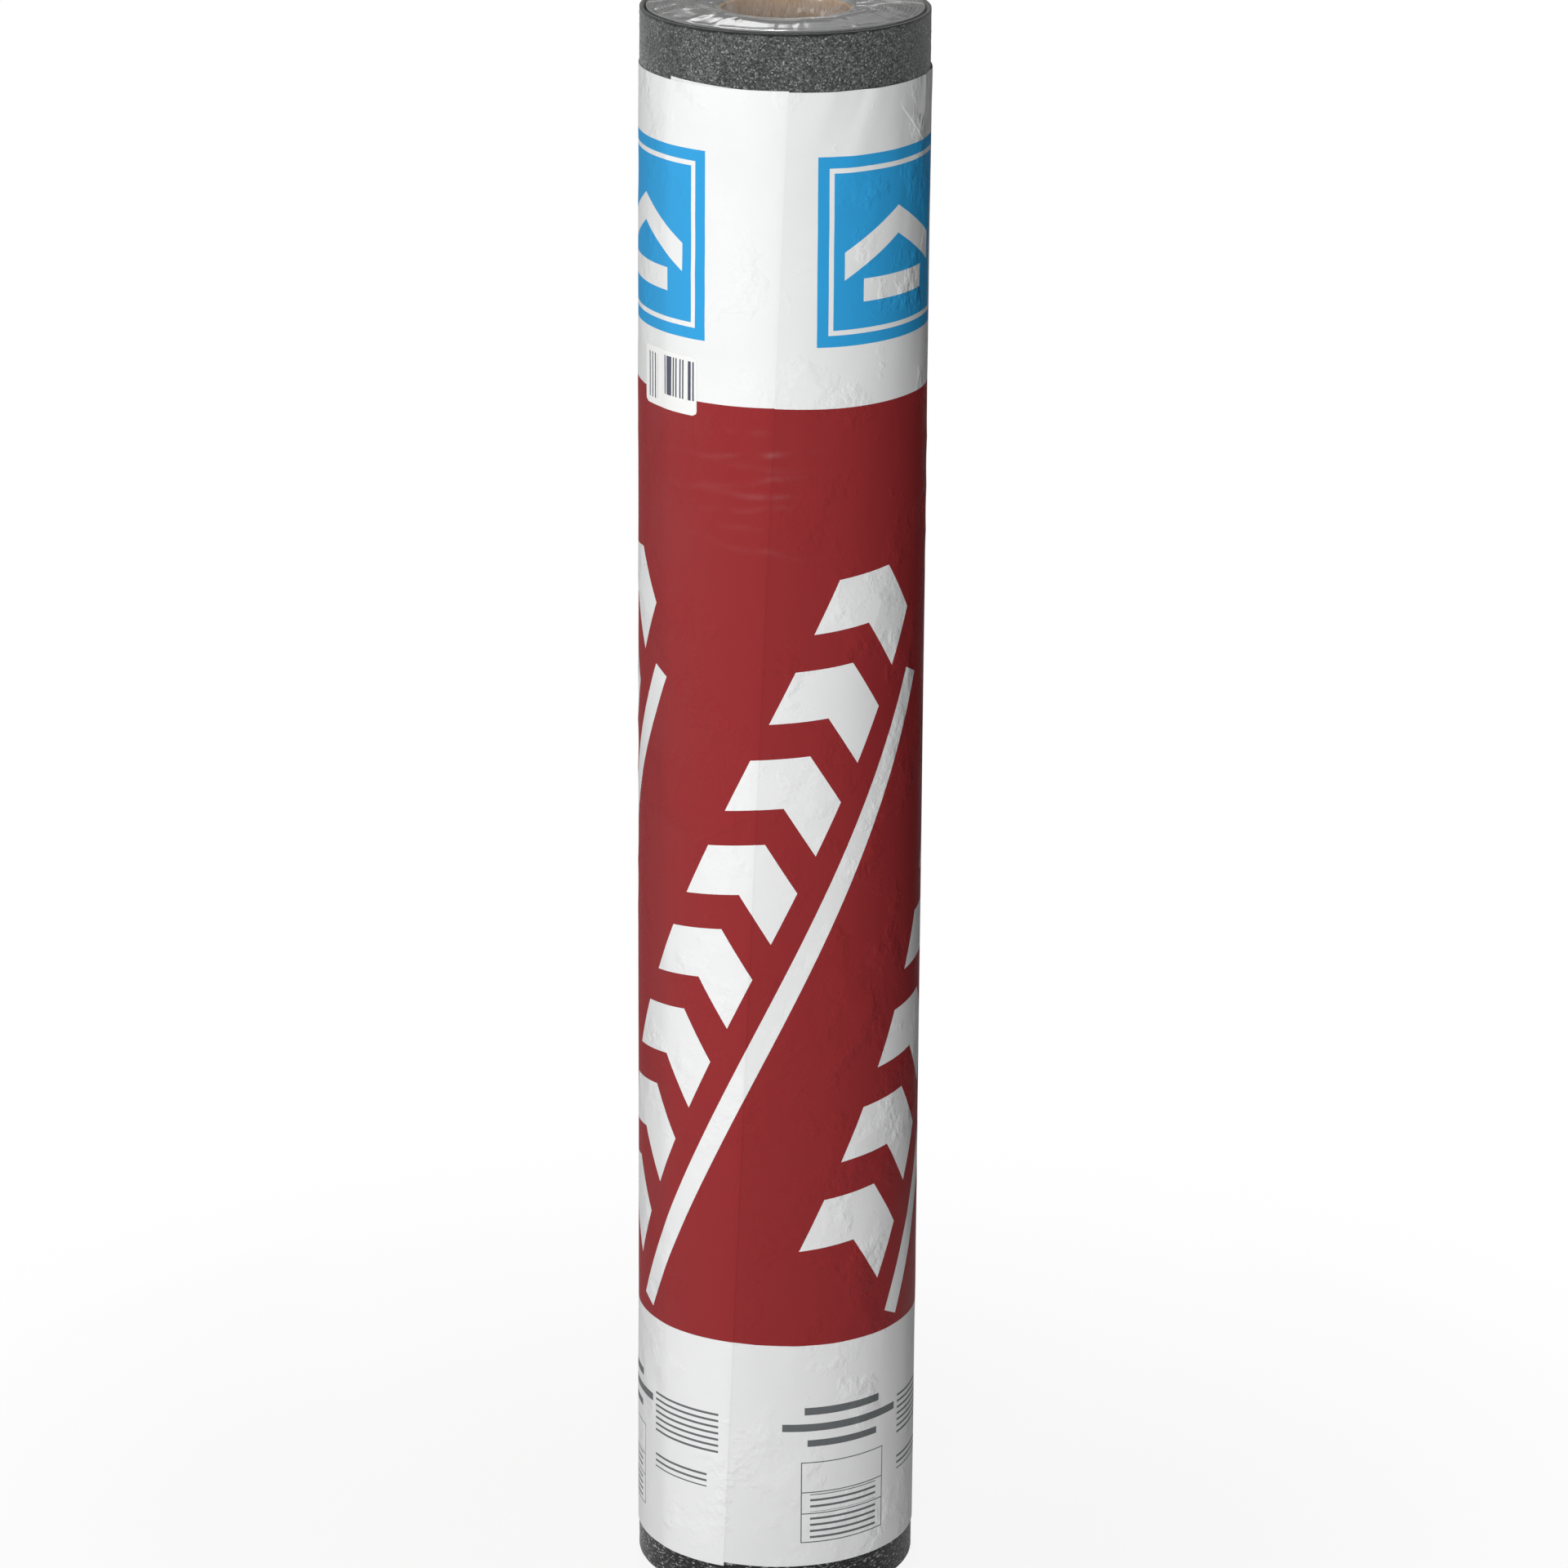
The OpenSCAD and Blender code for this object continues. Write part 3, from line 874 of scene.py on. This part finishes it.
def footPrint(tree, across, up):
    # grey ink: a ruled box, heading bars and blocks of fine lines
    left, right, low, high = (v * mm for v in printed["ruledBox"])
    line = printed["boxLine"] * mm
    box = printedBar(tree, across, up, left, right, low, high)
    hollow = printedBar(tree, across, up, left + line, right - line, low + line, high - line)
    ink = [addNode(tree, "Math", {"operation": "SUBTRACT"}, links={0: box, 1: hollow})]
    for height in printed["boxRules"]:
        ink.append(printedBar(tree, across, up, left, right, height * mm, height * mm + line))
    for bar in printed["headings"]:
        ink.append(printedBar(tree, across, up, *(v * mm for v in bar)))
    pitch, tall = printed["noteLine"]
    rowed = addNode(tree, "Math", {"operation": "WRAP"}, {1: pitch, 2: 0.0}, {0: up})
    for note in printed["notes"]:
        left, right, low, high = (v * mm for v in note)
        field = printedBar(tree, across, up, left, right, low, high)
        rows = printedBar(tree, across, rowed, left, right, 0, tall)
        ink.append(addNode(tree, "Math", {"operation": "MULTIPLY"}, links={0: field, 1: rows}))
    return [(printed["ink"], mask) for mask in ink]


def topFold(tree, place):
    # height of the crease at the top right: a sharp near side and a long far side
    left, low, turn, length = printed["fold"]
    turned = addNode(tree, "Mapping", {"vector_type": "TEXTURE"},
                     {"Location": (left, low, 0), "Rotation": (0, 0, math.radians(turn))}, {0: place})
    axes = addNode(tree, "SeparateXYZ", links={0: turned})
    along, off = axes.outputs[0], axes.outputs[1]
    ridge = addNode(tree, "MapRange", values={"From Min": -printed["foldWidth"], "From Max": 0.0},
                    links={"Value": off})
    # each fades from full to nothing between two places
    fades = [(off, 0.0, printed["foldSlope"]), (along, 0.8 * length, length),
             (along, printed["foldStart"], 0.0)]
    for value, full, none in fades:
        fade = addNode(tree, "MapRange", links={"Value": value},
                       values={"From Min": full, "From Max": none, "To Min": 1.0, "To Max": 0.0})
        ridge = addNode(tree, "Math", {"operation": "MULTIPLY"}, links={0: ridge, 1: fade})
    return ridge


def wrappingPaper():
    # machine-finished wrapping paper, printed in flat colours: matt, hardly a shine, fine creases
    material, tree, shader = newMaterial("printedWrappingPaper")
    repeat = 2 * math.pi * feltRadius / printed["repeats"]
    place = addNode(tree, "Attribute", {"attribute_name": "sheetPlace"}).outputs["Vector"]
    axes = addNode(tree, "SeparateXYZ", links={0: place})
    along, up, onLap = axes.outputs[0], axes.outputs[1], axes.outputs[2]
    across = addNode(tree, "Math", {"operation": "WRAP"}, {1: repeat, 2: 0.0}, {0: along})
    redBand = printedBar(tree, across, up, -repeat, 2 * repeat, *printed["redBand"])
    layers = [(printed["red"], redBand)]
    layers += chevronRow(tree, along, up, repeat)
    layers += bluePanel(tree, across, up)
    layers += footPrint(tree, across, up)
    below = {}
    for colour, mask in layers:    # each ink is laid over the ones before it
        laid = addNode(tree, "Mix", {"data_type": "RGBA"},
                       {6: toLinear(printed["white"]), 7: toLinear(colour)}, {0: mask, **below})
        below = {6: laid.outputs[2]}

    # faint handling marks, and the puckers at the glued lap made pale: ink rubbed off, and a painted
    # highlight on their lit upper flanks
    spot = addNode(tree, "TexCoord").outputs["Object"]
    marks = addNode(tree, "TexNoise", links={"Vector": spot},
                    values={"Scale": 1 / printed["markSize"], "Detail": 5, "Roughness": 0.6})
    worn = addNode(tree, "MapRange", links={"Value": marks},
                   values={"From Min": 0.3, "From Max": 0.7, "To Min": 0.95, "To Max": 1.0})
    doubled = addNode(tree, "MapRange", values={"To Min": printed["singleShade"], "To Max": 1.0},
                      links={"Value": onLap})
    shade = addNode(tree, "Math", {"operation": "MULTIPLY"}, links={0: worn, 1: doubled})
    shaded = addNode(tree, "Mix", {"data_type": "RGBA", "blend_type": "MULTIPLY"}, {0: 1.0},
                     {7: shade, **below})
    # pale mark on the puckers: rubbed ink and painted highlight
    glued = addNode(tree, "Attribute", {"attribute_name": "creased"})
    rubbedAndHighlit = addNode(tree, "Math", {"operation": "MULTIPLY"}, {1: printed["rubbedAndHighlit"]},
                     {0: glued.outputs["Fac"]})
    rubbedAndHighlitInk = addNode(tree, "Mix", {"data_type": "RGBA"}, {7: toLinear(printed["white"])},
                        {0: rubbedAndHighlit, 6: shaded.outputs[2]})

    # faint facets where the sheet was handled, the crease, and fibre all over
    facets = addNode(tree, "TexVoronoi", values={"Scale": 1 / printed["facetSize"]},
                     links={"Vector": spot})
    patches = addNode(tree, "MapRange", values={"From Min": 0.5, "From Max": 0.62},
                      links={"Value": marks})
    dents = addNode(tree, "Math", {"operation": "MULTIPLY"},
                    links={0: facets.outputs["Distance"], 1: patches})
    dented = addNode(tree, "Bump", values={"Strength": 0.4, "Distance": 4 * mm}, links={"Height": dents})
    folded = addNode(tree, "Bump", values={"Strength": 1.0, "Distance": 0.5 * mm},
                     links={"Height": topFold(tree, place), "Normal": dented})
    fine = addNode(tree, "TexNoise", links={"Vector": spot},
                   values={"Scale": 1 / printed["fibreSize"], "Detail": 6, "Roughness": 0.6})
    bump = addNode(tree, "Bump", values={"Strength": 0.15, "Distance": 0.25 * mm},
                   links={"Height": fine, "Normal": folded})
    rough = addNode(tree, "MapRange", links={"Value": marks},
                    values={"From Min": 0.3, "From Max": 0.7, "To Min": 0.58, "To Max": 0.72})
    tree.links.new(rubbedAndHighlitInk.outputs[2], shader.inputs["Base Color"])
    tree.links.new(rough.outputs[0], shader.inputs["Roughness"])
    tree.links.new(bump.outputs[0], shader.inputs["Normal"])
    shader.inputs["IOR"].default_value = 1.48
    shader.inputs["Specular IOR Level"].default_value = 0.25
    return material


makeWrapper()


# sticker on the wrapper

label = {
    "angle": -52,
    "width": 50 * mm,
    "corner": 3 * mm,
    "thickness": 0.16 * mm,
    "standOff": 0.06 * mm,     # glue below it
    "columns": 40,
    "rows": 30,
}


def makeLabel():
    tall = labelTop - labelBottom
    up = np.linspace(-tall / 2, tall / 2, label["rows"])
    corner = label["corner"]
    over = np.clip(np.abs(up) - (tall / 2 - corner), 0, corner)
    halfWide = (label["width"] / 2 - corner + np.sqrt(corner ** 2 - over ** 2))[:, None]
    across = np.linspace(-1, 1, label["columns"])[None, :] * halfWide
    up = np.broadcast_to(up[:, None], across.shape)
    angle = label["angle"] + np.degrees(across / feltRadius)
    height = (labelTop + labelBottom) / 2 + up
    radius = paperSurface(angle + 360, height)[0] + paper["thickness"] + label["standOff"]
    outside = aroundRoll(radius + label["thickness"], angle, height)
    points, faces = thinSheet(outside, aroundRoll(radius, angle, height))
    piece = makePiece("sticker", points, faces, stickerPaper(), "label")
    place = np.stack([across, up, 0 * up], -1)
    storePerPoint(piece, "labelPlace", "FLOAT_VECTOR", np.concatenate([place] * 2))


def stickerPaper():
    # matt thermal label stock, bright white, with dull black thermal bars
    look = {
        "white": "#F5F5F4",
        "black": "#3A3E50",
        "barField": (-6 * mm, 23 * mm, -9 * mm, 15 * mm),
        "barStep": 1.15 * mm,          # bars are finer on such labels, drawn coarser to show
        "lineField": (-22 * mm, -10 * mm, -14 * mm, 14 * mm),
        "lineStep": 3.4 * mm,
        "lineShare": 0.36,
        "darkFrom": 0.45,              # share of the bars left white
        "fibre": 1.2 * mm,
    }
    material, tree, shader = newMaterial("thermalLabelPaper")
    place = addNode(tree, "Attribute", {"attribute_name": "labelPlace"})
    axes = addNode(tree, "SeparateXYZ", links={0: place.outputs["Vector"]})
    across, up = axes.outputs[0], axes.outputs[1]
    cell = addNode(tree, "Math", {"operation": "SNAP"}, {1: look["barStep"]}, {0: across})
    dice = addNode(tree, "TexWhiteNoise", {"noise_dimensions": "1D"}, links={"W": cell})
    dark = addNode(tree, "Math", {"operation": "GREATER_THAN"}, {1: look["darkFrom"]},
                   {0: dice.outputs["Value"]})
    bars = addNode(tree, "Math", {"operation": "MULTIPLY"},
                   links={0: dark, 1: printedBar(tree, across, up, *look["barField"])})
    row = addNode(tree, "Math", {"operation": "WRAP"}, {1: look["lineStep"], 2: 0.0}, {0: across})
    rowMask = addNode(tree, "Math", {"operation": "LESS_THAN"},
                      {1: look["lineStep"] * look["lineShare"]}, {0: row})
    lines = addNode(tree, "Math", {"operation": "MULTIPLY"},
                    links={0: rowMask, 1: printedBar(tree, across, up, *look["lineField"])})
    mask = addNode(tree, "Math", {"operation": "MAXIMUM"}, links={0: bars, 1: lines})
    colour = addNode(tree, "Mix", {"data_type": "RGBA"},
                     {6: toLinear(look["white"]), 7: toLinear(look["black"])}, {0: mask})
    fibre = addNode(tree, "TexNoise", values={"Scale": 1 / look["fibre"], "Detail": 4},
                    links={"Vector": addNode(tree, "TexCoord").outputs["Object"]})
    bump = addNode(tree, "Bump", values={"Strength": 0.15, "Distance": 0.05 * mm},
                   links={"Height": fibre})
    tree.links.new(colour.outputs[2], shader.inputs["Base Color"])
    tree.links.new(bump.outputs[0], shader.inputs["Normal"])
    shader.inputs["Roughness"].default_value = 0.55
    return material


makeLabel()


# clear film over the inner turns, tucked into the loose gap and into the core

film = {
    "columns": 260,
    "thickness": 0.08 * mm,
    "lip": 4.5 * mm,          # length tucked into the gap
    "overRim": 0.75 * mm,     # how far past the CAD film's edge it turns down
    "rimRound": 0.7 * mm,
    "lift": 0.35 * mm,        # how far it lies above the turns
    "swell": 3.2 * mm,        # how far it stands up between the mouth and the rim
    "wrinkle": 0.55 * mm,
    "gather": 1.5 * mm,       # folds and uneven end in the core
    "hang": 4 * mm,
    "mouthRadius": 43.5 * mm,
    "flatRows": 44,
    "funnelReach": 14 * mm,   # how far it hangs in and down at the core
    "funnelDrop": 20 * mm,
    "funnelRows": 22,
    "lipRows": 5,
    "rimRows": 6,
    "turnRoom": 0.25 * mm,    # room left inside the outer turn
    "fittedFrom": 60 * mm,    # radius past which it is fitted to the gap
    # degrees round and length inwards of its wrinkles
    "radial": (6, 26 * mm),
    "broad": (20, 14 * mm),
    "sharp": (9, 40 * mm),
    "uneven": (24, 60 * mm),
    "coreFolds": ((6, 30 * mm), (20, 40 * mm)),
    "hangStep": 30,           # degrees round
    "sharpWidth": 0.12,
    # lengths in which the wrinkles, the swell and the folds in the core rise and fall
    "mouthClear": 1 * mm,
    "mouthFade": 5 * mm,
    "rimFade": 2.5 * mm,
    "innerFade": 16 * mm,
    "outerFade": 20 * mm,
    "coreFade": 7 * mm,
}


def filmProfile():
    # radius and height from the lip in the gap to the end of the funnel
    edge = filmEdge + film["overRim"]
    top = rollHeight + film["lift"]
    bend = film["rimRound"]
    lip = [(edge, top - bend - film["lip"] * t) for t in np.linspace(1, 0, film["lipRows"])]
    turn = np.radians(np.linspace(15, 90, film["rimRows"]))
    rim = [(edge - bend * (1 - math.cos(t)), top - bend * (1 - math.sin(t))) for t in turn]
    flat = [(r, top) for r in np.linspace(rim[-1][0], film["mouthRadius"], film["flatRows"])[1:]]
    turn = np.radians(np.linspace(0, 90, film["funnelRows"]))[1:]
    funnel = [(film["mouthRadius"] - film["funnelReach"] * math.sin(t),
               top - film["funnelDrop"] * (1 - math.cos(t))) for t in turn]
    return np.array(lip + rim + flat + funnel)


def filmRim(angle):
    # the rim's radius and the share of the lip that finds room in the gap
    part = ((angle - felt["tailAngle"]) % 360) / 360
    outerFace = feltInside(felt["turns"] - 1 + part)
    gap = outerFace - feltInside(felt["turns"] - 2 + part) - felt["sheet"]
    rim = np.minimum(filmEdge + film["overRim"], outerFace - film["turnRoom"])
    share = smoothStep(gap / (0.7 * felt["looseGap"]))
    near = 4
    soft = np.ones(2 * near + 1) / (2 * near + 1)    # mean of the neighbours on both sides
    rim, share = (np.convolve(np.concatenate([v[-near:], v, v[:near]]), soft, "valid")
                  for v in (rim, share))
    return rim[None, :], share[None, :]


def makeFilm():
    outline = filmProfile()
    angle = np.linspace(0, 360, film["columns"], endpoint=False)[None, :]
    radius, height = outline[:, :1], outline[:, 1:]
    rim, lipShare = filmRim(angle[0])
    edge, fixed = filmEdge + film["overRim"], film["fittedFrom"]
    fitted = fixed + (radius - fixed) * (rim - fixed) / (edge - fixed)
    radius = np.where(radius > fixed, fitted, radius)
    top = rollHeight + film["lift"]
    height = np.where(radius > fixed, top - (top - height) * lipShare, height)

    # wrinkles and a swell between the core and the rim
    onTop = smoothStep((radius - coreInner - film["mouthClear"]) / film["mouthFade"])
    onTop = onTop * smoothStep((rim - radius) / film["rimFade"])
    radial = softNoise(angle, radius, *film["radial"], 41, 360)
    broad = softNoise(angle, radius, *film["broad"], 42, 360)
    fold = np.exp(-(softNoise(angle, radius, *film["sharp"], 43, 360) / film["sharpWidth"]) ** 2)
    lift = film["wrinkle"] * (0.45 * (1 + radial) / 2 + 0.6 * (1 + broad) / 2 + 0.7 * fold) * onTop
    rising = smoothStep((radius - film["mouthRadius"]) / film["innerFade"])
    falling = smoothStep((filmEdge - radius) / film["outerFade"])
    uneven = 0.7 + 0.3 * softNoise(angle, radius, *film["uneven"], 46, 360)
    lift = lift + film["swell"] * rising * falling * uneven

    # gathered and hanging in the core
    inCore = smoothStep((coreInner - radius) / film["coreFade"])
    narrow, wide = film["coreFolds"]
    folds = softNoise(angle, height, *narrow, 44, 360) + softNoise(angle, height, *wide, 47, 360)
    gather = film["gather"] * inCore * folds
    hang = film["hang"] * inCore * softNoise(angle, 0, film["hangStep"], 1, 45, 360)

    # thick downwards on top, and sideways where it hangs in the gap and in the core
    upright = onTop < 0.02
    aside = film["thickness"] * upright * np.sign(radius - fixed)
    down = film["thickness"] * ~upright
    radius, height = radius - gather, height + lift + hang
    outside = aroundRoll(radius, angle, height)
    points, faces = thinSheet(outside, aroundRoll(radius - aside, angle, height - down), True)
    piece = makePiece("clear_end_film", points, faces, clearFilm(), "end_film")
    gathered = inCore * np.ones_like(angle)
    storePerPoint(piece, "gathered", "FLOAT", np.concatenate([gathered] * 2))


def clearFilm():
    # blown polythene film: clear, with a wet shine at low angles and a faint haze
    look = {
        "haze": "#DADEDC",
        "hazeShare": 0.06,
        "gatheredHaze": 0.2,     # where it lies in folds
        "ior": 1.51,
        "roughness": 0.13,
    }
    material, tree, shader = newMaterial("clearPolytheneFilm")
    shader.inputs["Base Color"].default_value = toLinear(look["haze"])
    shader.inputs["Roughness"].default_value = 0.5
    gathered = addNode(tree, "Attribute", {"attribute_name": "gathered"})
    haze = addNode(tree, "MapRange", links={"Value": gathered.outputs["Fac"]},
                   values={"To Min": look["hazeShare"], "To Max": look["gatheredHaze"]})
    clear = addNode(tree, "BsdfTransparent")
    hazy = addNode(tree, "MixShader", links={0: haze, 1: clear, 2: shader})
    gloss = addNode(tree, "BsdfAnisotropic", values={"Roughness": look["roughness"]})
    fresnel = addNode(tree, "Fresnel", values={"IOR": look["ior"]})
    behind = addNode(tree, "NewGeometry").outputs["Backfacing"]
    front = addNode(tree, "MapRange", values={"To Min": 1.0, "To Max": 0.0}, links={"Value": behind})
    sheen = addNode(tree, "Math", {"operation": "MULTIPLY"}, links={0: fresnel, 1: front})
    mixed = addNode(tree, "MixShader", links={0: sheen, 1: hazy, 2: gloss})
    tree.links.new(mixed.outputs[0], tree.nodes["Material Output"].inputs["Surface"])
    return material


makeFilm()
